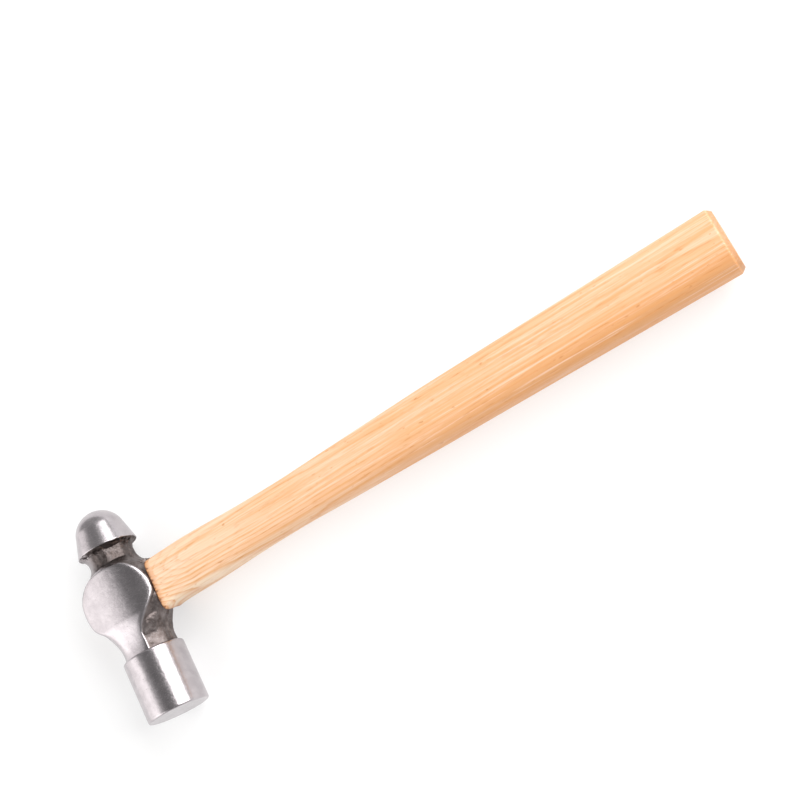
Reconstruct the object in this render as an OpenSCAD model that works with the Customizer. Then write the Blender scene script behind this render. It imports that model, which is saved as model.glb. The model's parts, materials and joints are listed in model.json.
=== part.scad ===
// Ball peen hammer of the 1 lb class, lying on its side.
// The head runs along Y with its striking face towards -Y and its peen towards +Y.
// The handle runs along +X.  The origin is under the middle of the whole hammer.

/* [Head] */
// Diameter of the poll
poll_d = 29.2; // [28:0.2:30]
// Length of the poll, from striking face to shoulder
poll_len = 29.3; // [27:0.1:31]
// Distance from the middle of the eye to the striking face
face_dist = 55.7; // [54:0.1:58]
// Distance from the middle of the eye to the tip of the peen
peen_dist = 45.3; // [45:0.1:47]
// Diameter of the peen at its rim
peen_d = 28.5; // [27.5:0.1:29]
// Radius of the ball at the tip of the peen
ball_r = 11.8; // [11:0.1:12]
// Height of the peen, from rim to tip
peen_len = 19; // [18:0.1:20]
// Thickness of the head across its two cheeks
cheek_t = 27.3; // [26.5:0.1:28]

/* [Eye] */
// Length of the oval eye along the head, at its waist
eye_long = 21; // [19:0.5:21.5]
// Width of the oval eye across the cheeks, at its waist
eye_short = 14.5; // [12:0.5:15]
// How much further each wall of the eye stands out at the mouth than at the waist
eye_flare = 0.8; // [0.4:0.1:1.2]

/* [Handle] */
// Distance from the middle of the eye to the butt of the handle
handle_reach = 310; // [260:1:360]
// Widths seen from the cheek side: at the shoulder, the waist and the butt
shoulder_w = 25.4; // [24:0.2:26]
waist_w = 22.2; // [21:0.2:23]
butt_w = 28.2; // [26:0.2:30]
// Thicknesses seen from the striking face: at the shoulder, the waist and the butt
shoulder_t = 18.8; // [17.6:0.2:20]
waist_t = 17; // [16:0.2:18]
butt_t = 22.4; // [21:0.2:24]
// Distance from the middle of the eye to the waist of the handle
waist_dist = 83; // [75:1:90]
// Chamfer around the butt
butt_chamfer = 2.4; // [1:0.2:3]

/* [Wedges] */
// Thickness of the wooden wedge at its outer end
wood_wedge_t = 3.6; // [3:0.1:4.5]
// Depth to which the wooden wedge is driven
wood_wedge_depth = 25; // [20:1:28]
// Thickness of each steel wedge at its outer end
steel_wedge_t = 2.4; // [1.8:0.1:3]
// Width of each steel wedge
steel_wedge_w = 11; // [9:0.5:12]
// Depth to which each steel wedge is driven
steel_wedge_depth = 14; // [10:0.5:16]

/* [Hidden] */
$fn = 96;

// Head, measured from the middle of the eye.
poll_r = poll_d / 2;
shoulder_y = poll_len - face_dist;
face_chamfer = 0.9;
shoulder_chamfer = 1.1;
rim_y = peen_dist - peen_len;
rim_r = peen_d / 2;
rim_lip = 1.2;
ball_y = peen_dist - ball_r;
// Angle above the ball's equator at which the flank of the peen leaves the ball.
flank_reach = norm([rim_r, ball_y - rim_y]);
flank_angle = acos(ball_r / flank_reach) - atan2(ball_y - rim_y, rim_r);

// Boss: the wedge side is a disc seen from the cheek, the handle side is a flat seat.
disc_x = -4.2;
disc_y = 0.8;
disc_r = 15.5;
seat_x = 18.4;
seat_peen_y = 12.4;
// The cheeks are thickest along one line and fall away less towards the wedges.
crown_x = 4;
crown_wedge_r = 80;
crown_handle_r = 32;
corner_r = 22;
// The middle of the head runs from inside the poll to inside the lip of the peen.
middle_y = shoulder_y - 3;
middle_end = rim_y - rim_lip + 0.4;
middle_len = middle_end - middle_y;
// Ground cheek: a disc with one corner cut off, ending on the peen side in a step.
cheek_x = 0.8;
cheek_y = -0.7;
cheek_r = 17.2;
cheek_cut = 14.4;
// Beside the cheek the forging slopes from the height of the necks down to the seat.
forged_high = [12.8, 10.8];
forged_seat_z = 8.4;
// Poll neck: round towards the wedges, with a side face and two facets towards the handle.
poll_neck_y = -23.6;
poll_neck_z = 11.2;
poll_neck_r = 12.6;
poll_neck_hollow = 19;
poll_neck_dip = 26;
poll_neck_side = 12;
poll_neck_side_y = -20.5;
poll_neck_side_r = 7.4;
facet_low = [12, 4.9];
facet_high = [3, 12.3];
// From facet_bend_y on, the facet rises towards the seat by facet_rise degrees, over facet_run.
facet_bend_y = -19.5;
facet_rise = 25;
facet_run = 12;
// Peen neck: round, with a small hollow under the rim and a large one beside the seat.
peen_neck_r = 10.5;
peen_neck_y = 20.9;
peen_neck_z = 10.8;
rim_hollow = 3.5;
boss_hollow = 6.5;
neck_slack = 0.4;
seat_hollow = 7;
seat_hollow_y = 19.2;

// Eye: an oval of one end radius and two side radii, flared towards both mouths.
eye_end_r = eye_long / 2;
eye_side_r = pow(eye_long / 2, 2) / (eye_short / 2);
eye_mouth = 24;

// Handle and wedges.
waist_r = 555;
// From the waist to where the grip has most of its width, and its share of the widening there.
grip_dist = 85;
grip_share = 0.52;
// The shoulder is rounded in where it meets the head and then runs almost straight.
seat_round = [0.5, 1];
shoulder_run = [30, 63];
waist_run = 12;
// How far the rounded corners of the handle stand outside its half width.
corner_reach = 1.3;
// The end of the tenon is domed: proud in the middle of the eye and level with the cheeks' rims.
tenon_proud = 0.4;
tenon_dome_r = 45;
steel_proud = 0.6;
kerf = 1;
kerf_depth = wood_wedge_depth + 4;
steel_wedge_tip = 0.5;
steel_wedge_y = 5.2;
mouth_x = disc_x - disc_r;

// The whole hammer stands over its own middle, with its lowest line on Z = 0.
place = [-(handle_reach + mouth_x - tenon_proud) / 2, (face_dist - peen_dist) / 2, poll_r];

// Turns a half outline [radius, distance] about the head's axis.
module turned_y() rotate([-90, 0, 0]) rotate_extrude() children();

// Turns a half outline [radius, distance] about the handle's axis.
module turned_x() rotate([0, 90, 0]) rotate_extrude() children();

// Round hollow that leaves a half width at one place along an outline.
module hollow(half, y, r) translate([half + r, y]) circle(r = r);

// Outline of the middle of the head seen from the cheek.
module plan_outline() {
    difference() {
        union() {
            translate([disc_x, disc_y]) circle(r = disc_r);
            translate([-peen_neck_r - rim_hollow, middle_y])
                square([peen_neck_r + rim_hollow, -middle_y]);
            translate([-1, middle_y]) square([seat_x + 1, seat_peen_y - middle_y]);
            translate([-peen_neck_r, 0]) square([2 * peen_neck_r, peen_neck_y + 1]);
            translate([-1, 0]) square([peen_neck_r + seat_hollow + 1, seat_hollow_y]);
            rim_flare();
        }
        hollow(poll_neck_side, poll_neck_side_y, poll_neck_side_r);
        translate([poll_neck_side, middle_y - 1]) square([disc_r, poll_neck_side_y - middle_y + 1]);
        mirror([1, 0]) hollow(poll_neck_r, poll_neck_y, poll_neck_hollow);
        hollow(peen_neck_r, seat_hollow_y, seat_hollow);
    }
}

// Outline of the middle of the head seen from the handle's end: [Z, Y].
module side_outline() {
    difference() {
        union() {
            translate([-cheek_t / 2, middle_y]) square([cheek_t, cheek_y + cheek_r - middle_y]);
            translate([-peen_neck_z, 0]) square([2 * peen_neck_z, peen_neck_y + 1]);
            rim_flare();
        }
        hollow(poll_neck_z, poll_neck_y, poll_neck_dip);
        mirror([1, 0]) hollow(poll_neck_z, poll_neck_y, poll_neck_dip);
    }
}

// Where the peen neck widens into the underside of the rim.
module rim_flare() {
    difference() {
        translate([-peen_neck_r - rim_hollow, peen_neck_y])
            square([2 * (peen_neck_r + rim_hollow), middle_end - peen_neck_y]);
        hollow(peen_neck_r, peen_neck_y, rim_hollow);
        mirror([1, 0]) hollow(peen_neck_r, peen_neck_y, rim_hollow);
    }
}

// Half outline of the turned form that rounds the corners of the boss and the necks.
module corner_outline() {
    difference() {
        translate([0, middle_y]) square([corner_r, middle_len]);
        hollow(poll_neck_r, poll_neck_y, poll_neck_hollow);
        hollow(peen_neck_r + neck_slack, peen_neck_y, rim_hollow);
        intersection() {
            hollow(peen_neck_r + neck_slack, peen_neck_y, boss_hollow);
            square([corner_r + boss_hollow, peen_neck_y]);
        }
        translate([rim_r - rim_lip, peen_neck_y]) square([corner_r, peen_len]);
    }
}

// Outline of the two crowned cheeks seen from the striking face: [X, Z].
module crown_outline() {
    crowned(crown_wedge_r, -3 * disc_r);
    crowned(crown_handle_r, 0);
}

// The part of both crowns that has one radius, from the line of greatest thickness outwards.
module crowned(r, from) {
    intersection() {
        translate([crown_x, cheek_t / 2 - r]) circle(r = r, $fn = 240);
        translate([crown_x, r - cheek_t / 2]) circle(r = r, $fn = 240);
        translate([crown_x + from, -cheek_t]) square([3 * disc_r, 2 * cheek_t]);
    }
}

// Boss and necks between the poll and the peen.
module head_middle() {
    difference() {
        intersection() {
            linear_extrude(height = cheek_t + 2, center = true) plan_outline();
            rotate([0, 90, 0]) linear_extrude(height = 4 * disc_r, center = true) side_outline();
            rotate([90, 0, 0]) linear_extrude(height = 4 * disc_r, center = true) crown_outline();
            turned_y() corner_outline();
        }
        lower_forging();
        mirror([0, 0, 1]) lower_forging();
    }
}

// Ground cheek: what stands above the forging, inside a circle with one corner cut off.
module cheek_form() {
    intersection() {
        translate([cheek_x, cheek_y, 0]) cylinder(r = cheek_r, h = 2 * cheek_t);
        translate([cheek_x, cheek_y, 0]) rotate([0, 0, -45])
            translate([cheek_cut - 4 * disc_r, -2 * disc_r, 0]) cube([4 * disc_r, 4 * disc_r, cheek_t]);
    }
}

// The line of the facet, [X, Z], lowered so that it still meets itself when the cut is tilted.
function facet_line(tilt) = [
    [facet_high[0], facet_high[1] * cos(tilt)],
    [facet_low[0], facet_low[1] * cos(tilt)],
    [4 * disc_r, facet_low[1] * cos(tilt)]
];

// What is cut from above a line across the handle side of the head, [X, Z], along a stretch of Y.
module cut_above(line, y, len)
    translate([0, y, 0]) rotate([90, 0, 0]) linear_extrude(height = len)
        polygon(concat(line, [[4 * disc_r, cheek_t], [line[0][0], cheek_t]]));

// Towards the handle the forging is lower than the ground cheek, and the poll neck has a facet
// that rises to the seat.
module lower_forging() {
    difference() {
        union() {
            cut_above(
                [[cheek_x, forged_high[1]], forged_high, [seat_x, forged_seat_z], [4 * disc_r, 0]],
                cheek_y + cheek_r + 1,
                2 * cheek_r
            );
            facet_cut();
        }
        cheek_form();
    }
}

// The facet is cut as what lies above both its level stretch and its rising stretch.
module facet_cut() {
    intersection() {
        cut_above(facet_line(0), facet_bend_y + facet_run, facet_bend_y + facet_run - middle_y);
        translate([0, facet_bend_y, 0]) rotate([facet_rise, 0, 0])
            cut_above(facet_line(facet_rise), 2 * facet_run, 4 * facet_run);
    }
}

// Poll with its flat striking face.
module poll() {
    turned_y() polygon([
        [0, -face_dist],
        [poll_r - face_chamfer, -face_dist],
        [poll_r, -face_dist + face_chamfer],
        [poll_r, shoulder_y - shoulder_chamfer],
        [poll_r - shoulder_chamfer, shoulder_y],
        [0, shoulder_y]
    ]);
}

// Peen: a ball on a flared flank that ends in a thin rim.
module peen() {
    turned_y() {
        intersection() {
            translate([0, ball_y]) circle(r = ball_r);
            translate([0, rim_y]) square([ball_r + 1, peen_len + 1]);
        }
        polygon([
            [0, rim_y - rim_lip],
            [rim_r - rim_lip, rim_y - rim_lip],
            [rim_r, rim_y],
            [ball_r * cos(flank_angle), ball_y + ball_r * sin(flank_angle)],
            [0, ball_y]
        ]);
    }
}

// The oval eye, narrowest at its middle; the same form shapes the tenon that fills it.
module eye_form() {
    intersection() {
        flared_bore(eye_end_r, 0);
        flared_bore(eye_side_r, eye_side_r - eye_short / 2);
        flared_bore(eye_side_r, eye_short / 2 - eye_side_r);
    }
}

module flared_bore(r, z)
    translate([0, 0, z]) turned_x() polygon([
        [0, -eye_mouth],
        [r + eye_flare * eye_mouth / seat_x, -eye_mouth],
        [r, 0],
        [r + eye_flare * eye_mouth / seat_x, eye_mouth],
        [0, eye_mouth]
    ]);

// Keeps what lies inside the boss's wedge side, domed outwards by an amount in the middle.
module trimmed_to_boss(proud) {
    intersection() {
        children();
        union() {
            translate([disc_x, disc_y, 0]) rotate_extrude() intersection() {
                translate([disc_r + proud - tenon_dome_r, 0]) circle(r = tenon_dome_r, $fn = 240);
                translate([0, -disc_r]) square([2 * disc_r, 2 * disc_r]);
            }
            translate([disc_x, -disc_r, -disc_r]) cube([seat_x - disc_x, 2 * disc_r, 2 * disc_r]);
        }
    }
}

// Half outline of the handle: flared shoulder, hollow waist, grip that widens to the butt.
module shaft_outline(shoulder, waist, butt) {
    grip = waist + (butt - waist) * grip_share;
    difference() {
        polygon([
            [seat_x, 0],
            [seat_x, shoulder - seat_round[1]],
            [seat_x + seat_round[0], shoulder - seat_round[1] / 2],
            [shoulder_run[0], shoulder],
            [shoulder_run[1], shoulder],
            [waist_dist + waist_run, waist],
            [waist_dist + grip_dist, grip],
            [handle_reach - butt_chamfer, butt],
            [handle_reach, butt - butt_chamfer],
            [handle_reach, 0]
        ]);
        translate([waist_dist, waist + waist_r]) circle(r = waist_r, $fn = 360);
    }
}

module both_sides() {
    children();
    mirror([0, 1]) children();
}

module shaft() {
    intersection() {
        linear_extrude(height = butt_t + 4, center = true)
            both_sides() shaft_outline(shoulder_w / 2, waist_w / 2, butt_w / 2);
        rotate([90, 0, 0]) linear_extrude(height = butt_w + 4, center = true)
            both_sides() shaft_outline(shoulder_t / 2, waist_t / 2, butt_t / 2);
        rotate([0, 90, 0]) rotate_extrude() mirror([1, -1])
            shaft_outline(
                shoulder_w / 2 + corner_reach,
                waist_w / 2 + corner_reach,
                butt_w / 2 + corner_reach
            );
    }
}

// Outline of a wedge seen on edge: [X, thickness], from beyond the mouth to its tip.
module wedge_outline(thick, tip, depth) {
    rise = (thick - tip) / depth / 2;
    polygon([
        [mouth_x - 2, -thick / 2 - 2 * rise],
        [mouth_x + depth, -tip / 2],
        [mouth_x + depth, tip / 2],
        [mouth_x - 2, thick / 2 + 2 * rise]
    ]);
}

module wood_wedge_form()
    rotate([90, 0, 0]) linear_extrude(height = 2 * disc_r, center = true)
        wedge_outline(wood_wedge_t, kerf, wood_wedge_depth);

module steel_wedge_form(y)
    translate([0, y, 0]) linear_extrude(height = steel_wedge_w, center = true)
        wedge_outline(steel_wedge_t, steel_wedge_tip, steel_wedge_depth);

module steel_wedge_forms() {
    steel_wedge_form(steel_wedge_y);
    steel_wedge_form(-steel_wedge_y);
}

// Forged steel head with the eye right through it.
module hammer_head() {
    color("#a9a6a8") translate(place) difference() {
        union() {
            poll();
            head_middle();
            peen();
        }
        eye_form();
    }
}

// Ash handle, its tenon split by the saw and spread by the wedges.
module handle() {
    color("#efc590") translate(place) difference() {
        union() {
            shaft();
            trimmed_to_boss(tenon_proud) eye_form();
        }
        wood_wedge_form();
        steel_wedge_forms();
        translate([mouth_x - 2, -disc_r, -kerf / 2]) cube([kerf_depth + 2, 2 * disc_r, kerf]);
    }
}

// Wooden wedge that fills the saw cut.
module wooden_wedge() {
    color("#c99a63") translate(place) difference() {
        trimmed_to_boss(tenon_proud) intersection() {
            eye_form();
            wood_wedge_form();
        }
        steel_wedge_forms();
    }
}

// One steel wedge driven across the wooden one.
module steel_wedge(y) {
    color("#77757a") translate(place) trimmed_to_boss(steel_proud) steel_wedge_form(y);
}

module steel_wedge_peen() steel_wedge(steel_wedge_y);

module steel_wedge_poll() steel_wedge(-steel_wedge_y);

hammer_head();
handle();
wooden_wedge();
steel_wedge_peen();
steel_wedge_poll();
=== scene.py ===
import json
import math

import bmesh
import bpy
import numpy as np
from mathutils import Matrix, Vector, noise


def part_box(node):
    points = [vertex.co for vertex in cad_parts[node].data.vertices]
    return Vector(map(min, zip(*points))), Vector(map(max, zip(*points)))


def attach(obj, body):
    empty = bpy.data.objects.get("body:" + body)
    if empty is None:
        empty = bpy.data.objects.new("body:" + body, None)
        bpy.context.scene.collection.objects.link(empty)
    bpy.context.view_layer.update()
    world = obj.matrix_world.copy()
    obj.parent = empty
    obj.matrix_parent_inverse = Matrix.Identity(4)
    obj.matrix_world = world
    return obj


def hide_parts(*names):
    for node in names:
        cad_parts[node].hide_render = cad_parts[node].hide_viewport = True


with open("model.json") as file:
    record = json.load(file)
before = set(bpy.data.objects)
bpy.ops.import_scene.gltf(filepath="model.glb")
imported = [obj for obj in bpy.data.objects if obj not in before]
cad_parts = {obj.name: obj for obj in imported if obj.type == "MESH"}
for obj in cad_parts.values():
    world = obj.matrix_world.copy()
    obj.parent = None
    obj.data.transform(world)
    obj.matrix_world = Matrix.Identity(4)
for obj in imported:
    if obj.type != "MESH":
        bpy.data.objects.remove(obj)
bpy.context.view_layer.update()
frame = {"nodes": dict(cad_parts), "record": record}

# The hammer's own frame: origin in the middle of the eye, +X along the handle, +Y towards the peen, +Z up.
# Shapes are worked out there in millimetres and moved to the row frame when they become meshes.
MM = 0.001
MOUNT = {m["name"]: Vector(m["pos_m"]) for m in frame["record"]["mounts"]}
EYE = Vector((MOUNT["striking_face"].x, MOUNT["handle_butt"].y, MOUNT["striking_face"].z))
HEAD_LOW, HEAD_HIGH = ((corner - EYE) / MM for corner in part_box("hammer_head"))
BUTT_X = ((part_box("handle")[1] - EYE) / MM).x

# Poll and peen
FACE_Y = HEAD_LOW.y
TIP_Y = HEAD_HIGH.y
POLL_R = HEAD_HIGH.z
SHOULDER_Y = -26.4
RIM_Y = 26.3
RIM_R = 14.2
RIM_UNDERCUT = 1.9
BALL_R = 11.8
FACE_EDGE = 0.9
SHOULDER_EDGE = 1.1

# Boss and necks
DISC_X, DISC_Y, DISC_R = -4.2, 0.8, 15.5
SEAT_X = 18.4
CHEEK_HALF = 13.65
CROWN_X, CROWN_WEDGE_R, CROWN_HANDLE_R = 4.0, 80.0, 32.0
CORNER_R = 22.0
POLL_NECK_Y, POLL_NECK_Z, POLL_NECK_R = -23.6, 11.2, 12.6
POLL_HOLLOW_R, POLL_HOLLOW_TOP_R, POLL_NECK_MOST = 19, 26, 14.0
PEEN_NECK_Y, PEEN_NECK_R, PEEN_HOLLOW_R = 20.9, 10.5, 6.5

# The same hollows where they face the handle
NECK_SIDE = 12.0
POLL_SIDE_Y, POLL_SIDE_R = -20.5, 7.4
PEEN_SIDE_Y, PEEN_SIDE_R = 19.2, 7.0

# Outline of the ground cheek on the handle side: a circle, one corner of it cut off,
# and a tongue down to the poll
CHEEK_X, CHEEK_Y, CHEEK_R = 0.8, -0.7, 17.2
CHEEK_CUT = 14.4
TONGUE_X = 4.9
ROLL_WIDE, ROLL_R = 1.8, 6.6

# Side of the forging towards the handle: an oval seat, and a flat on each neck
SEAT_HALF, SEAT_Y, SEAT_FLAT = 8.4, -1.1, 4.2
FLAT_HALF = 4.9
FORGED_TOP = 10.8
PIT = (8.6, -20.2)

# Eye
EYE_LONG, EYE_SHORT, EYE_FLARE = 10.5, 7.25, 0.8

# No point of the head lies further than REACH from its axis, which is where the search starts.
REACH = 24.0
HALVINGS = 26


def soft_min(a, b, k):
    """The smaller of two surfaces, with the edge between them rounded over about k."""
    h = np.clip(0.5 + 0.5 * (b - a) / k, 0, 1)
    return b * (1 - h) + a * h - k * h * (1 - h)


def soft_max(a, b, k):
    """The larger of two surfaces, rounded in the same way."""
    return -soft_min(-a, -b, k)


def ease(t):
    """Goes smoothly from 0 to 1 as t does."""
    t = np.clip(t, 0, 1)
    return t * t * (3 - 2 * t)


def hollow(y, centre, half, radius):
    """Half width that a round hollow leaves along the head; it grows without limit away from it."""
    off = np.abs(y - centre)
    dip = np.sqrt(np.maximum(radius**2 - off**2, 0))
    return half + radius - dip + 4 * np.maximum(off - radius, 0)


# ---------------------------------------------------------------- head

def wedge_side(y):
    """How far the head reaches towards -X: the ground disc, and the necks on both sides of it."""
    disc = -DISC_X + np.sqrt(np.maximum(DISC_R**2 - (y - DISC_Y) ** 2, 0))
    poll_neck = np.minimum(hollow(y, POLL_NECK_Y, POLL_NECK_R, POLL_HOLLOW_R), POLL_NECK_MOST)
    neck = np.where(y < 0, poll_neck, PEEN_NECK_R)
    return soft_max(disc, neck, 1.2)


def handle_side(y):
    """How far the head reaches towards +X: the seat under the handle, and the necks."""
    poll_neck = hollow(np.maximum(y, POLL_SIDE_Y), POLL_SIDE_Y, NECK_SIDE, POLL_SIDE_R)
    peen_neck = hollow(np.minimum(y, PEEN_SIDE_Y), PEEN_SIDE_Y, PEEN_NECK_R - 0.3, PEEN_SIDE_R)
    return np.minimum(np.where(y < 0, poll_neck, peen_neck), SEAT_X)


def neck_round(x, y):
    """Greatest distance from the head's axis: a round hollow at each neck, the one at the peen tighter
    under the rim than towards the boss."""
    poll_neck = hollow(y, POLL_NECK_Y, POLL_NECK_R, POLL_HOLLOW_R)
    under_rim = 3.5 + 2.0 * ease((x + 2) / 8)
    radius = np.where(y < PEEN_NECK_Y, PEEN_HOLLOW_R, under_rim)
    peen_neck = hollow(y, PEEN_NECK_Y, PEEN_NECK_R + 0.4, radius)
    return np.minimum(np.minimum(poll_neck, peen_neck), CORNER_R)


def flat_half(y):
    """Half height of the side face towards the handle: the oval seat, and the flat on each neck."""
    end = np.maximum(np.abs(y - SEAT_Y) - SEAT_FLAT, 0)
    oval = np.sqrt(np.maximum(SEAT_HALF**2 - end**2, 0))
    return soft_max(oval, np.full_like(oval, FLAT_HALF), 0.8)


def cheek_distance(x, y):
    """Roughly how far a point is outside the ground cheek, seen from above; negative inside."""
    wedge_share = 0.85 * ease((y - 2) / 6)
    across = np.where(x < CHEEK_X, wedge_share, 1.0) * (x - CHEEK_X)
    disc = np.hypot(across, y - CHEEK_Y) - CHEEK_R
    cut = (x - CHEEK_X - y + CHEEK_Y) / math.sqrt(2) - CHEEK_CUT
    tongue = np.maximum(x - TONGUE_X, y + 10)
    return soft_min(soft_max(disc, cut, 2.0), tongue, 2.5)


def ground_height(x, y):
    """Height of the crowned cheek and the tongue, which roll over towards their edge."""
    neck = hollow(y, POLL_NECK_Y, POLL_NECK_Z, POLL_HOLLOW_TOP_R)
    half = soft_min(np.full_like(y, CHEEK_HALF), neck, 1.6)
    radius = np.where(x < CROWN_X, CROWN_WEDGE_R, CROWN_HANDLE_R)
    crown = half - radius + np.sqrt(radius**2 - (x - CROWN_X) ** 2)
    inwards = np.clip(ROLL_WIDE + cheek_distance(x, y), 0, ROLL_WIDE)
    handle_end = ease((y + 16) / 5)
    return crown - inwards**2 / (2 * ROLL_R) * (0.25 + 0.75 * handle_end)


def forged_height(x, y):
    """Height of the forged skin beside the cheek: it falls to the seat, and more steeply to the flats."""
    slope = 0.5 + 0.31 * ease((np.abs(y + 0.5) - 9.5) / 6)
    neck = np.where(y < 0, NECK_SIDE, PEEN_NECK_R)
    towards_seat = np.where(y < 0, (y + 22.0) / 11.0, (18.5 - y) / 7.5)
    edge = neck + (SEAT_X - neck) * ease(towards_seat)
    facet = flat_half(y) + slope * (edge - x)
    return np.minimum(facet, FORGED_TOP)


def middle(x, y, z):
    """Boss and necks as a signed surface: negative inside."""
    ground = ground_height(x, y)
    forged = np.minimum(forged_height(x, y), ground)
    bank = ground - 2.2 * np.maximum(cheek_distance(x, y), 0)
    top = soft_max(bank, forged, 0.5)
    form = soft_max(np.abs(z) - top, np.hypot(x, z) - neck_round(x, y), 1.5)
    form = soft_max(form, -x - wedge_side(y), 2.4)
    form = soft_max(form, x - handle_side(y), 0.7)
    # It ends a little way inside the poll and under the rim.
    inside = (y > SHOULDER_Y - 2) & (y < RIM_Y - 1.6)
    return np.where(inside, form, REACH)


def poll_radius(y):
    """A plain cylinder with a round edge at each end; 0 away from it."""
    face = np.maximum(FACE_EDGE - (y - FACE_Y), 0)
    shoulder = np.maximum(SHOULDER_EDGE - (SHOULDER_Y - y), 0)
    radius = POLL_R - (FACE_EDGE - np.sqrt(np.maximum(FACE_EDGE**2 - face**2, 0)))
    radius -= SHOULDER_EDGE - np.sqrt(np.maximum(SHOULDER_EDGE**2 - shoulder**2, 0))
    return np.where((y >= FACE_Y - 1e-6) & (y <= SHOULDER_Y), radius, 0)


def peen_radius(y):
    """Ball at the tip, a flank that flares to the rim, and the underside of the rim; 0 away from them."""
    ball_y = TIP_Y - BALL_R
    reach = math.hypot(RIM_R, ball_y - RIM_Y)
    angle = math.acos(BALL_R / reach) - math.atan2(ball_y - RIM_Y, RIM_R)
    leave_y = ball_y + BALL_R * math.sin(angle)
    leave_r = BALL_R * math.cos(angle)
    ball = np.sqrt(np.maximum(BALL_R**2 - (y - ball_y) ** 2, 0))
    flank = leave_r + (RIM_R - leave_r) * (leave_y - y) / (leave_y - RIM_Y)
    under = RIM_R - RIM_UNDERCUT * (RIM_Y - y)
    radius = np.where(y > leave_y, ball, soft_min(flank, under + 0.5, 0.6))
    return np.where(y > RIM_Y - 2.5, radius, 0)


def head_surface(angle, y):
    """Distance from the head's axis to its surface, by halving the interval where it lies."""
    cx, sz = np.cos(angle), np.sin(angle)
    low = np.zeros_like(angle)
    high = np.full_like(angle, REACH)
    for _ in range(HALVINGS):
        mid = (low + high) / 2
        solid = middle(mid * cx, y, mid * sz) < 0
        low = np.where(solid, mid, low)
        high = np.where(solid, high, mid)
    return np.maximum(np.maximum(low, poll_radius(y)), peen_radius(y))


def stations(*stretches):
    """Places along an axis: each stretch is (from, to, step)."""
    parts = [np.arange(a, b, step) for a, b, step in stretches]
    return np.concatenate([*parts, [stretches[-1][1]]])


def grid_mesh(name, rings, first, last):
    """A closed mesh from rings of points, with a fan to one point at each end."""
    count, around = rings.shape[:2]
    points = rings.reshape(-1, 3)
    ends = np.array([first, last], float)
    row = np.arange(count - 1)[:, None] * around
    a = np.arange(around)[None, :]
    b = (a + 1) % around
    quads = np.stack([row + a, row + b, row + around + b, row + around + a], -1).reshape(-1, 4)
    n = len(points)
    tail = (count - 1) * around
    fans = [(n, int(j), int(i)) for i, j in zip(a[0], b[0])]
    fans += [(n + 1, tail + int(i), tail + int(j)) for i, j in zip(a[0], b[0])]
    mesh = bpy.data.meshes.new(name)
    world = (np.concatenate([points, ends]) * MM + np.array(EYE)).tolist()
    mesh.from_pydata(world, [], quads.tolist() + fans)
    mesh.update()
    piece = bpy.data.objects.new(name, mesh)
    bpy.context.scene.collection.objects.link(piece)
    return piece


def forged_mask(x, y):
    """1 where the skin is as it left the forge, 0 where it has been ground bright."""
    outside = ease(cheek_distance(x, y) / 0.5 + 0.1)
    side = ease((x - handle_side(y) + 0.6) / 0.4)
    bright_flank = 0.55 * ease((-x - 2) / 5) * ease((y - 15) / 2)
    boss = (y > SHOULDER_Y) & (y < RIM_Y - 0.3)
    return np.where(boss, np.maximum(outside, side) * (1 - bright_flank), 0.0)


def make_forging():
    """The head's closed outer form: rings about its axis, closer together where it bends more."""
    y = stations(
        (FACE_Y, FACE_Y + 1.0, 0.1),
        (FACE_Y + 1.0, SHOULDER_Y - 2.0, 0.8),
        (SHOULDER_Y - 2.0, SHOULDER_Y, 0.12),
        (SHOULDER_Y + 0.01, 13.0, 0.3),
        (13.0, 18.6, 0.2),
        (18.6, 23.4, 0.24),
        (23.4, 28.0, 0.14),
        (28.0, TIP_Y - 4.0, 0.4),
    )
    tip = TIP_Y - 4.0 + 4.0 * np.sin(np.linspace(0, math.pi / 2, 24)[1:-1])
    y = np.concatenate([y, tip])
    angle = np.linspace(0, 2 * math.pi, 352, endpoint=False)
    aa, yy = np.meshgrid(angle, y)
    r = head_surface(aa, yy)
    rings = np.stack([r * np.cos(aa), yy, r * np.sin(aa)], -1)
    # The striking face is closed by rings that shrink to its middle.
    shrink = np.linspace(0, 1, 14)[1:-1, None, None]
    face = rings[:1] * np.array([1, 0, 1]) * shrink + np.array([0, FACE_Y, 0])
    rings = np.concatenate([face, rings])
    return grid_mesh("hammer_head_forging", rings, (0, FACE_Y, 0), (0, TIP_Y, 0))


def oval_radius(angle, grow):
    """The eye's outline about the handle's axis: round ends, and flatter arcs along both cheeks."""
    side_r = EYE_LONG**2 / EYE_SHORT
    drop = side_r - EYE_SHORT
    cy, sz = np.cos(angle), np.abs(np.sin(angle))
    side = -drop * sz + np.sqrt((side_r + grow) ** 2 - (drop * cy) ** 2)
    return np.minimum(side, EYE_LONG + grow)


def make_eye_cutter():
    angle = np.linspace(0, 2 * math.pi, 128, endpoint=False)
    rings = []
    for x in (-REACH, 0.0, REACH):
        r = oval_radius(angle, EYE_FLARE * abs(x) / SEAT_X)
        rings.append(np.stack([np.full_like(angle, x), r * np.cos(angle), r * np.sin(angle)], -1))
    return grid_mesh("eye_cutter", np.array(rings), (-REACH, 0, 0), (REACH, 0, 0))


def face_outwards(piece):
    bm = bmesh.new()
    bm.from_mesh(piece.data)
    bmesh.ops.recalc_face_normals(bm, faces=bm.faces)
    bm.to_mesh(piece.data)
    bm.free()


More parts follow.
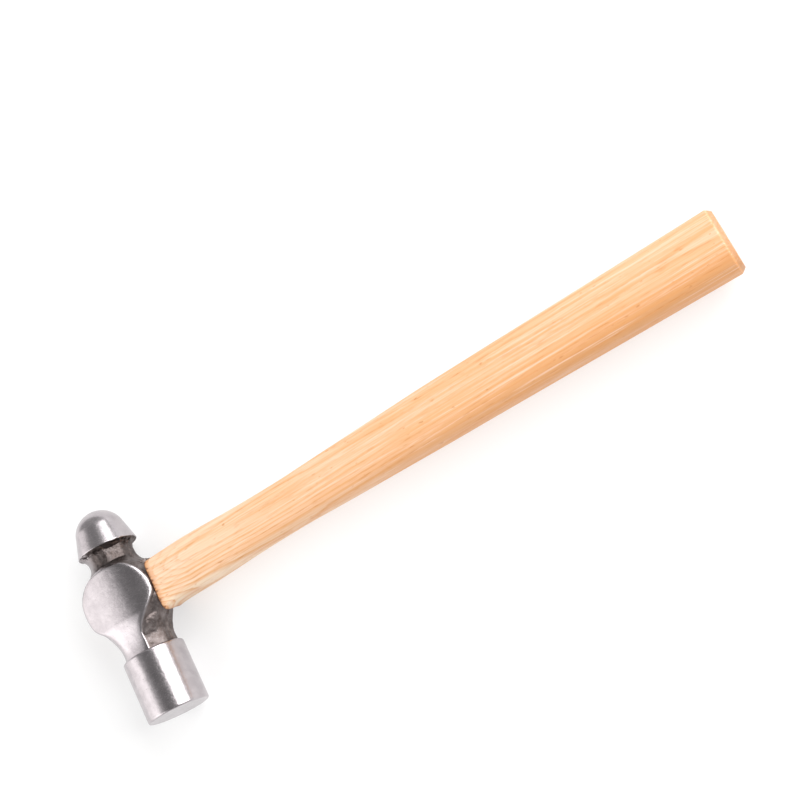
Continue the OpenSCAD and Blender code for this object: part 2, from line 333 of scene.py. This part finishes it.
def combine(piece, other, operation):
    """Boolean of two closed meshes; the second one is used up."""
    face_outwards(other)
    modifier = piece.modifiers.new("cut", "BOOLEAN")
    modifier.operation = operation
    modifier.solver = "EXACT"
    modifier.object = other
    graph = bpy.context.evaluated_depsgraph_get()
    mesh = bpy.data.meshes.new_from_object(piece.evaluated_get(graph))
    # The cut leaves slivers along its edge; points closer than this become one.
    bm = bmesh.new()
    bm.from_mesh(mesh)
    bmesh.ops.remove_doubles(bm, verts=bm.verts, dist=0.03 * MM)
    bmesh.ops.dissolve_degenerate(bm, edges=bm.edges, dist=0.01 * MM)
    bmesh.ops.triangulate(bm, faces=[f for f in bm.faces if len(f.verts) > 4])
    bm.to_mesh(mesh)
    bm.free()
    piece.modifiers.clear()
    old = piece.data
    piece.data = mesh
    mesh.name = old.name
    bpy.data.meshes.remove(old)
    bpy.data.objects.remove(other)


def smooth_shade(piece):
    """Smooth shading, except over edges sharper than 35 degrees."""
    piece.data.polygons.foreach_set("use_smooth", np.ones(len(piece.data.polygons), bool))
    piece.data.set_sharp_from_angle(angle=math.radians(35))


def local_points(piece):
    """The piece's points in the hammer's own frame, in millimetres."""
    co = np.zeros(len(piece.data.vertices) * 3)
    piece.data.vertices.foreach_get("co", co)
    return (co.reshape(-1, 3) - np.array(EYE)) / MM


def paint(piece, name, values):
    """Stores one number per point, for the materials to read."""
    layer = piece.data.attributes.new(name, "FLOAT", "POINT")
    layer.data.foreach_set("value", np.asarray(values, np.float32))


def roughen(piece, mask):
    """Moves the as-forged skin in and out: scale, the parting line, a pit, and chips under the rim."""
    points = local_points(piece)
    normals = np.zeros(len(points) * 3)
    piece.data.vertices.foreach_get("normal", normals)
    normals = normals.reshape(-1, 3)
    push = np.zeros(len(points))
    for i in np.nonzero(mask > 0.02)[0]:
        p = Vector(points[i])
        wide = 0.2 * noise.fractal(p / 4.6, 1.0, 2.0, 2) + 0.07 * noise.fractal(p / 1.5, 1.0, 2.0, 2)
        push[i] = wide * mask[i]
        if p.y > RIM_Y - 2.4:
            chip = noise.noise(p / 1.7 + Vector((7, 0, 3)))
            push[i] -= 0.9 * max(chip - 0.05, 0) * min((RIM_Y - p.y) / 0.6, 1)
        elif p.y > CHEEK_R - 0.5:
            push[i] += 0.16 * noise.fractal(p / 2.4, 0.9, 2.0, 2) * mask[i]
    x, y, z = points.T
    # The parting line shows only on the necks, beyond the seat.
    parting = np.exp(-((z / 0.55) ** 2)) * (x > 5) * ((y < SEAT_Y - 11.5) | (y > SEAT_Y + 12.5))
    push += 0.3 * parting * mask
    pit = np.exp(-(((x - PIT[0]) / 0.9) ** 2) - ((y - PIT[1]) / 0.6) ** 2) * (z > 0)
    push -= 0.45 * pit
    # The wall of the eye stays where it is, so that the tenon still fits.
    eye = oval_radius(np.arctan2(z, y), EYE_FLARE * np.abs(x) / SEAT_X + 0.15)
    push[np.hypot(y, z) < eye] = 0
    moved = (points + normals * push[:, None]) * MM + np.array(EYE)
    piece.data.vertices.foreach_set("co", moved.astype(np.float32).ravel())
    piece.data.update()


# ---------------------------------------------------------------- handle

WAIST_X, WAIST_CURVE_R = 83.0, 555.0
# Half width and half thickness of the shaft
SHAFT_SHOULDER = (12.3, 9.2)
SHAFT_WAIST = (11.1, 8.5)
SHAFT_BUTT = (14.2, 11.0)
BUTT_CHAMFER = 2.4
TENON_CUT_X, TENON_REACH = SEAT_X - 0.4, 1.0


def shaft_half(x, side):
    """Half width (side 0) or half thickness (side 1) of the handle along its length."""
    shoulder, waist, butt = SHAFT_SHOULDER[side], SHAFT_WAIST[side], SHAFT_BUTT[side]
    swell = shoulder + 0.5 * ease((x - SEAT_X) / 26) - 0.5 + 0.5 * np.exp(-(x - SEAT_X) / 3)
    dip = waist + (x - WAIST_X) ** 2 / (2 * WAIST_CURVE_R)
    line = np.interp(x, [WAIST_X + 12, WAIST_X + 85, BUTT_X], [0, 0.52, 1])
    grip = waist + (butt - waist) * line
    near = soft_min(swell, dip, 1.2) + 0.2
    return np.where(x < WAIST_X + 5, near, soft_min(dip, grip, 0.6) + 0.3)


def shaft_drift(x):
    """How far the middle of the handle lies off its axis: it was shaped by hand."""
    return 0.3 * np.exp(-(((x - 185) / 60) ** 2)) - 0.5 * np.exp(-(x - SEAT_X) / 60) - 0.3


def make_shaft():
    """The handle outside the head, closed at both ends."""
    x = stations(
        (SEAT_X, SEAT_X + 2, 0.25),
        (SEAT_X + 2, BUTT_X - BUTT_CHAMFER - 1, 1.0),
        (BUTT_X - BUTT_CHAMFER - 1, BUTT_X, 0.2),
    )
    angle = np.linspace(0, 2 * math.pi, 160, endpoint=False)
    aa, xx = np.meshgrid(angle, x)
    cy, sz = np.cos(aa), np.sin(aa)
    # A rounded rectangle, squarer where it leaves the head.
    power = 3.6 + 2.4 * np.exp(-(xx - SEAT_X) / 8)
    wide = np.abs(cy / shaft_half(xx, 0)) ** power
    thick = np.abs(sz / shaft_half(xx, 1)) ** power
    ring = (wide + thick) ** (-1 / power)
    # Chamfer around the butt and a small round where the wood meets the seat.
    butt = np.maximum(xx - (BUTT_X - BUTT_CHAMFER), 0)
    seat = np.maximum(0.6 - (xx - SEAT_X), 0)
    ring = ring - soft_max(0.8 * butt, np.zeros_like(butt), 0.5) - 0.6 * seat**2
    # The wood's upper side leans towards the poll where it meets the head.
    lean = 0.6 * np.exp(-(xx - SEAT_X) / 4) * (1 + np.tanh(ring * sz / 3))
    rings = np.stack([xx, ring * cy + shaft_drift(xx) - lean, ring * sz], -1)
    shrink = np.linspace(0, 1, 9)[1:-1, None, None]
    seat_end = rings[:1] * np.array([0, 1, 1]) * shrink + np.array([SEAT_X, 0, 0])
    butt_end = rings[-1:] * np.array([0, 1, 1]) * shrink[::-1] + np.array([BUTT_X, 0, 0])
    rings = np.concatenate([seat_end, rings, butt_end])
    return grid_mesh("ash_handle", rings, (SEAT_X, 0, 0), (BUTT_X, 0, 0))


def make_tenon():
    """The tenon with its saw cut and wedge slots, taken from the CAD handle."""
    mesh = frame["nodes"]["handle"].data.copy()
    bm = bmesh.new()
    bm.from_mesh(mesh)
    bmesh.ops.remove_doubles(bm, verts=bm.verts, dist=1e-6)
    cut = bmesh.ops.bisect_plane(
        bm,
        geom=bm.verts[:] + bm.edges[:] + bm.faces[:],
        plane_co=EYE + Vector((TENON_CUT_X, 0, 0)) * MM,
        plane_no=(1, 0, 0),
        clear_outer=True,
    )
    edges = [e for e in cut["geom_cut"] if isinstance(e, bmesh.types.BMEdge)]
    bmesh.ops.contextual_create(bm, geom=edges)
    # Its cut end reaches into the shaft, so that the two become one piece of wood.
    for vert in {v for e in edges for v in e.verts}:
        vert.co.x += TENON_REACH * MM
    bm.to_mesh(mesh)
    bm.free()
    piece = bpy.data.objects.new("tenon", mesh)
    bpy.context.scene.collection.objects.link(piece)
    return piece


# ---------------------------------------------------------------- materials

# Start of the line that the wood's growth rings go round
RING_LINE = (0, 2.4, 2.6)


class Nodes:
    """Short calls for building one material's node tree."""

    def __init__(self, name):
        self.material = bpy.data.materials.new(name)
        self.material.use_nodes = True
        self.tree = self.material.node_tree
        self.tree.nodes.clear()
        self.shader = self.add("ShaderNodeBsdfPrincipled")
        self.surface = self.shader.inputs
        output = self.add("ShaderNodeOutputMaterial")
        self.link(self.shader.outputs[0], output.inputs["Surface"])

    def add(self, kind, **values):
        node = self.tree.nodes.new(kind)
        for key, value in values.items():
            setattr(node, key, value)
        return node

    def link(self, source, target):
        self.tree.links.new(source, target)

    def put(self, value, socket):
        if isinstance(value, bpy.types.NodeSocket):
            self.link(value, socket)
        else:
            socket.default_value = value

    def math(self, operation, a, b=0.0, c=0.0, clamp=False):
        node = self.add("ShaderNodeMath", operation=operation, use_clamp=clamp)
        for value, socket in zip((a, b, c), node.inputs):
            self.put(value, socket)
        return node.outputs[0]

    def mix(self, factor, a, b):
        node = self.add("ShaderNodeMix", data_type="RGBA")
        self.put(factor, node.inputs[0])
        self.put(a, node.inputs[6])
        self.put(b, node.inputs[7])
        return node.outputs[2]

    def place(self, scale=(1, 1, 1), start=(0, 0, 0)):
        """Object coordinates in millimetres from a start point near the eye, then scaled."""
        coordinate = self.add("ShaderNodeTexCoord").outputs["Object"]
        move = self.add("ShaderNodeMapping", vector_type="TEXTURE")
        self.link(coordinate, move.inputs["Vector"])
        move.inputs["Location"].default_value = EYE + Vector(start) * MM
        move.inputs["Scale"].default_value = [MM / s for s in scale]
        return move.outputs[0]

    def split(self, vector):
        node = self.add("ShaderNodeSeparateXYZ")
        self.link(vector, node.inputs[0])
        return node.outputs

    def noise(self, vector, scale=1.0, detail=4.0, rough=0.55):
        node = self.add("ShaderNodeTexNoise")
        self.put(vector, node.inputs["Vector"])
        node.inputs["Scale"].default_value = scale
        node.inputs["Detail"].default_value = detail
        node.inputs["Roughness"].default_value = rough
        return node.outputs["Fac"]

    def ramp(self, factor, *stops):
        """Colour ramp; each stop is (position, colour or grey)."""
        node = self.add("ShaderNodeValToRGB")
        self.put(factor, node.inputs[0])
        elements = node.color_ramp.elements
        while len(elements) < len(stops):
            elements.new(1.0)
        for element, (position, colour) in zip(elements, stops):
            element.position = position
            element.color = (colour,) * 3 + (1,) if isinstance(colour, float) else (*colour, 1)
        return node.outputs[0]

    def bump(self, height, distance, strength=1.0, normal=None):
        node = self.add("ShaderNodeBump")
        node.inputs["Distance"].default_value = distance * MM
        node.inputs["Strength"].default_value = strength
        self.put(height, node.inputs["Height"])
        if normal is not None:
            self.link(normal, node.inputs["Normal"])
        return node.outputs[0]

    def attribute(self, name):
        return self.add("ShaderNodeAttribute", attribute_name=name).outputs["Fac"]


def steel_material():
    n = Nodes("forged_and_ground_steel")
    forged = n.attribute("forged")
    grind = n.noise(n.place((0.12, 1.2, 1.2)), 2.4, 3.0)
    cloud = n.noise(n.place(), 0.22, 5.0, 0.6)
    scale = n.noise(n.place(), 0.30, 7.0, 0.62)
    specks = n.noise(n.place(), 1.7, 3.0, 0.6)
    bright = n.ramp(cloud, (0.3, (0.46, 0.425, 0.44)), (0.7, (0.56, 0.52, 0.535)))
    bright = n.mix(n.ramp(specks, (0.60, 0.0), (0.72, 0.5)), bright, (0.30, 0.275, 0.28, 1))
    dull = n.ramp(
        scale,
        (0.32, (0.085, 0.066, 0.06)),
        (0.5, (0.165, 0.138, 0.132)),
        (0.7, (0.26, 0.23, 0.225)),
    )
    fleck = n.ramp(specks, (0.60, 0.0), (0.70, 0.45))
    dull = n.mix(fleck, dull, (0.50, 0.46, 0.45, 1))
    # Painted shade: the forging is darkest between the peen and the boss, in the hollow neck under the
    # rim.
    towards_peen = n.split(n.place())[1]
    painted_neck_shade = n.ramp(n.math("DIVIDE", towards_peen, 40), (0.38, 0.0), (0.45, 0.45))
    dull = n.mix(painted_neck_shade, dull, (0.07, 0.056, 0.052, 1))
    n.link(n.mix(forged, bright, dull), n.surface["Base Color"])
    n.surface["Metallic"].default_value = 1.0
    smooth = n.math("MULTIPLY_ADD", grind, 0.16, 0.17)
    coarse = n.math("MULTIPLY_ADD", scale, 0.3, 0.28)
    rough = n.math("MULTIPLY_ADD", n.math("SUBTRACT", coarse, smooth), forged, smooth)
    n.link(rough, n.surface["Roughness"])
    dents = n.bump(n.noise(n.place(), 0.5, 5.0, 0.6), 0.09, 0.6)
    lines = n.bump(n.mix(forged, grind, (0.5, 0.5, 0.5, 1)), 0.02, 0.45, dents)
    fine = n.noise(n.place(), 1.1, 6.0, 0.62)
    pits = n.bump(n.math("MULTIPLY", fine, forged), 0.3, 0.6, lines)
    n.link(pits, n.surface["Normal"])
    return n.material


def ash_rings(n, along, across, up):
    """Early wood of growth rings about a line inside the handle: they come up as close straight lines
    along both edges, and near the head, where the line dips, as nested arches."""
    wander = n.noise(n.place((0.006, 0.03, 0.03)), 1.0, 1.0, 0.5)
    waver = n.noise(n.place((0.03, 0.25, 0.25)), 1.0, 3.0, 0.6)
    dip = n.math("MULTIPLY", n.math("MULTIPLY_ADD", along, -1 / 19, 1.95, clamp=True), 3.6)
    rise = n.math("MULTIPLY", n.math("MULTIPLY_ADD", along, 1 / 230, -0.36, clamp=True), -2.4)
    height = n.math("ADD", n.math("ADD", up, dip), n.math("MULTIPLY_ADD", wander, 1.6, rise))
    square = n.math("ADD", n.math("MULTIPLY", across, across), n.math("MULTIPLY", height, height))
    distance = n.math("MULTIPLY_ADD", waver, 0.7, n.math("SQRT", square))
    ring = n.math("FRACT", n.math("DIVIDE", distance, 1.3))
    early = n.ramp(ring, (0.0, 0.0), (0.10, 1.0), (0.26, 0.55), (0.60, 0.0), (0.9, 0.0), (1.0, 0.0))
    # Some rings are fainter than others, but not along the poll side.
    which = n.noise(n.place((0.010, 0.35, 0.35)), 1.0, 2.0)
    poll_side = n.math("MULTIPLY_ADD", across, -0.25, -0.9, clamp=True)
    shown = n.math("MAXIMUM", n.ramp(which, (0.36, 0.2), (0.60, 0.8)), poll_side)
    return n.math("MULTIPLY", early, shown)


def ash_ground(n, along, across):
    """Colour of the wood between its grain lines, with painted shade and a painted highlight on the poll
    side.
    """
    broad = n.noise(n.place((0.015, 0.14, 0.14)), 1.0, 3.0)
    colour = n.ramp(broad, (0.3, (0.87, 0.505, 0.275)), (0.7, (0.905, 0.555, 0.345)))
    # Paler towards the head. Painted shade: a duller orange along the poll side, more so towards the butt.
    near_head = n.math("MULTIPLY_ADD", along, -0.008, 1.2, clamp=True)
    colour = n.mix(n.math("MULTIPLY", near_head, 0.72), colour, (0.95, 0.69, 0.49, 1))
    poll_side = n.math("MULTIPLY_ADD", across, -0.15, -0.65, clamp=True)
    dull = n.math("MULTIPLY", poll_side, n.math("MULTIPLY_ADD", along, 0.0045, -0.12, clamp=True))
    colour = n.mix(n.math("MULTIPLY", dull, 0.85), colour, (0.74, 0.35, 0.14, 1))
    # Painted highlight: a pale line along the very edge of the poll side, which fades towards the butt.
    edge = n.math("MULTIPLY", n.math("MULTIPLY_ADD", across, -0.4, -4.6, clamp=True), near_head)
    return n.mix(n.math("MULTIPLY", edge, 0.7), colour, (1.0, 0.84, 0.64, 1))


def ash_ends(n, colour, along, fibres):
    """The wood is redder and darker against the head, darkest right at the seat; the butt and the tenon
    show end grain.
    """
    seat = n.math("ABSOLUTE", n.math("SUBTRACT", along, SEAT_X))
    from_seat = n.math("SUBTRACT", seat, n.math("MULTIPLY_ADD", fibres, 4.0, -1.7))
    warm = n.ramp(n.math("DIVIDE", from_seat, 10), (0.0, 0.65), (0.26, 0.0))
    colour = n.mix(warm, colour, (0.60, 0.22, 0.06, 1))
    dark = n.ramp(n.math("DIVIDE", from_seat, 10), (0.0, 0.75), (0.06, 0.0))
    colour = n.mix(dark, colour, (0.20, 0.065, 0.03, 1))
    butt = n.math("SUBTRACT", along, BUTT_X - 2.0)
    tenon = n.math("MULTIPLY_ADD", along, -0.5, -8.0)
    end = n.ramp(n.math("MAXIMUM", butt, tenon), (0.0, 0.0), (0.6, 0.6))
    return n.mix(end, colour, (0.50, 0.25, 0.12, 1))


def ash_material():
    n = Nodes("ash_wood")
    along, across, up = n.split(n.place(start=RING_LINE))
    early = ash_rings(n, along, across, up)
    ground = ash_ground(n, along, across)
    colour = n.mix(n.math("MULTIPLY", early, 0.75), ground, (0.78, 0.35, 0.12, 1))
    fibres = n.noise(n.place((0.016, 0.95, 0.95)), 1.0, 4.0, 0.66)
    streaks = n.ramp(fibres, (0.34, 0.6), (0.50, 0.0))
    colour = n.mix(streaks, colour, (0.80, 0.40, 0.16, 1))
    pale = n.ramp(fibres, (0.53, 0.0), (0.68, 0.6))
    colour = n.mix(pale, colour, (0.96, 0.74, 0.58, 1))
    # Short dark pores, thicker in the early wood, and a few brown flecks.
    dashes = n.ramp(n.noise(n.place((0.14, 1.6, 1.6)), 1.0, 2.0, 0.5), (0.56, 0.0), (0.66, 1.0))
    pores = n.math("MULTIPLY", dashes, n.math("MULTIPLY_ADD", early, 0.7, 0.25))
    colour = n.mix(n.math("MULTIPLY", pores, 0.65), colour, (0.66, 0.26, 0.075, 1))
    flecks = n.ramp(n.noise(n.place((0.28, 0.75, 0.75)), 1.0, 1.0, 0.4), (0.72, 0.0), (0.78, 1.0))
    colour = n.mix(n.math("MULTIPLY", flecks, 0.6), colour, (0.62, 0.24, 0.07, 1))
    n.link(ash_ends(n, colour, along, fibres), n.surface["Base Color"])
    n.surface["Roughness"].default_value = 0.5
    n.surface["Specular IOR Level"].default_value = 0.3
    grain = n.bump(fibres, 0.05, 0.4)
    n.link(n.bump(pores, -0.03, 0.4, grain), n.surface["Normal"])
    return n.material


def wedge_wood_material():
    n = Nodes("wedge_wood")
    fibres = n.noise(n.place((0.1, 1.5, 2.5)), 1.0, 5.0, 0.7)
    colour = n.ramp(fibres, (0.3, (0.34, 0.19, 0.09)), (0.7, (0.55, 0.34, 0.18)))
    n.link(colour, n.surface["Base Color"])
    n.surface["Roughness"].default_value = 0.6
    n.link(n.bump(fibres, 0.08, 0.5), n.surface["Normal"])
    return n.material


def wedge_steel_material():
    n = Nodes("wedge_steel")
    cloud = n.noise(n.place(), 0.8, 6.0, 0.65)
    colour = n.ramp(cloud, (0.3, (0.20, 0.19, 0.19)), (0.7, (0.42, 0.40, 0.40)))
    n.link(colour, n.surface["Base Color"])
    n.surface["Metallic"].default_value = 1.0
    n.link(n.math("MULTIPLY_ADD", cloud, 0.3, 0.3), n.surface["Roughness"])
    n.link(n.bump(cloud, 0.1, 0.4), n.surface["Normal"])
    return n.material


def dress(piece, material):
    piece.data.materials.clear()
    piece.data.materials.append(material)


# ---------------------------------------------------------------- build

def build_head():
    head = make_forging()
    face_outwards(head)
    combine(head, make_eye_cutter(), "DIFFERENCE")
    x, y, _ = local_points(head).T
    mask = forged_mask(x, y)
    roughen(head, mask)
    paint(head, "forged", mask)
    smooth_shade(head)
    dress(head, steel_material())
    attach(head, "root")
    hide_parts("hammer_head")


def build_handle():
    handle = make_shaft()
    face_outwards(handle)
    combine(handle, make_tenon(), "UNION")
    smooth_shade(handle)
    dress(handle, ash_material())
    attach(handle, "root")
    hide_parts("handle")


def dress_wedges():
    """The three wedges stay as the CAD made them, with small worn edges.  The one nearer the poll keeps
    the CAD's plain steel as well."""
    dress(frame["nodes"]["wooden_wedge"], wedge_wood_material())
    dress(frame["nodes"]["steel_wedge_peen"], wedge_steel_material())
    for node in ("wooden_wedge", "steel_wedge_peen", "steel_wedge_poll"):
        bevel = frame["nodes"][node].modifiers.new("worn_edges", "BEVEL")
        bevel.width = 0.15 * MM
        bevel.segments = 2
        bevel.limit_method = "ANGLE"


# ---------------------------------------------------------------- stage

def make_floor():
    """A plain pale floor that gives off a little light, so that it stays white round the hammer."""
    mesh = bpy.data.meshes.new("floor")
    reach = 6.0
    corners = [(-reach, -reach, 0), (reach, -reach, 0), (reach, reach, 0), (-reach, reach, 0)]
    mesh.from_pydata(corners, [], [(0, 1, 2, 3)])
    floor = bpy.data.objects.new("floor", mesh)
    bpy.context.scene.collection.objects.link(floor)
    n = Nodes("pale_floor")
    n.surface["Base Color"].default_value = (0.45, 0.45, 0.45, 1)
    n.surface["Roughness"].default_value = 0.9
    n.surface["Specular IOR Level"].default_value = 0.1
    n.surface["Emission Color"].default_value = (1, 1, 1, 1)
    n.surface["Emission Strength"].default_value = 0.58
    dress(floor, n.material)


def softbox(name, direction, distance, size, power, colour=(1, 1, 1)):
    """A rectangular studio light that faces the head from a direction."""
    light = bpy.data.lights.new(name, "AREA")
    light.shape = "RECTANGLE"
    light.size, light.size_y = size
    light.energy = power
    light.color = colour
    lamp = bpy.data.objects.new(name, light)
    bpy.context.scene.collection.objects.link(lamp)
    towards = Vector(direction).normalized()
    lamp.location = EYE + towards * distance
    lamp.rotation_mode = "QUATERNION"
    lamp.rotation_quaternion = towards.to_track_quat("Z", "Y")


def make_world():
    """A plain dome: light towards the horizon, darker straight overhead, with a soft glow high up
    beyond the head."""
    world = bpy.data.worlds.new("studio")
    bpy.context.scene.world = world
    world.use_nodes = True
    tree = world.node_tree
    coordinate = tree.nodes.new("ShaderNodeTexCoord")
    split = tree.nodes.new("ShaderNodeSeparateXYZ")
    ramp = tree.nodes.new("ShaderNodeMapRange")
    tree.links.new(coordinate.outputs["Generated"], split.inputs[0])
    tree.links.new(split.outputs["Z"], ramp.inputs["Value"])
    ramp.inputs["From Min"].default_value = 0.55
    ramp.inputs["From Max"].default_value = 0.85
    ramp.inputs["To Min"].default_value = 0.42
    ramp.inputs["To Max"].default_value = 0.19
    towards = tree.nodes.new("ShaderNodeVectorMath")
    towards.operation = "DOT_PRODUCT"
    towards.inputs[1].default_value = Vector((-0.64, -0.30, 0.70)).normalized()
    tree.links.new(coordinate.outputs["Generated"], towards.inputs[0])
    glow = tree.nodes.new("ShaderNodeMapRange")
    glow.interpolation_type = "SMOOTHSTEP"
    tree.links.new(towards.outputs["Value"], glow.inputs["Value"])
    glow.inputs["From Min"].default_value = 0.76
    glow.inputs["From Max"].default_value = 1.0
    glow.inputs["To Max"].default_value = 1.0
    both = tree.nodes.new("ShaderNodeMath")
    tree.links.new(ramp.outputs[0], both.inputs[0])
    tree.links.new(glow.outputs[0], both.inputs[1])
    tree.links.new(both.outputs[0], tree.nodes["Background"].inputs["Color"])


def make_camera():
    """The camera stands over the handle and looks down on it; the image's up leans towards the peen."""
    stand = Vector((317.4, -141.3, 567.1)) * MM
    aim = Vector((157.8, 14.0, 0)) * MM
    heading = math.radians(61.6)
    back = (stand - aim).normalized()
    right = Vector((math.cos(heading), math.sin(heading), 0)).cross(back).normalized()
    up = back.cross(right)
    data = bpy.data.cameras.new("camera")
    data.sensor_width = 36
    data.lens = 63.55
    data.clip_start = 0.01
    camera = bpy.data.objects.new("camera", data)
    bpy.context.scene.collection.objects.link(camera)
    turn = Matrix((right, up, back)).transposed().to_4x4()
    camera.matrix_world = Matrix.Translation(EYE + stand) @ turn
    bpy.context.scene.camera = camera


build_head()
build_handle()
dress_wedges()
make_floor()
make_world()
softbox("key_right", (0.82, 0.25, 0.565), 2.0, (2.4, 1.4), 51)
softbox("fill_left", (-0.90, -0.06, 0.43), 2.2, (4.1, 2.62), 35, (1.0, 0.975, 0.965))
make_camera()
bpy.context.scene.view_settings.view_transform = "Standard"
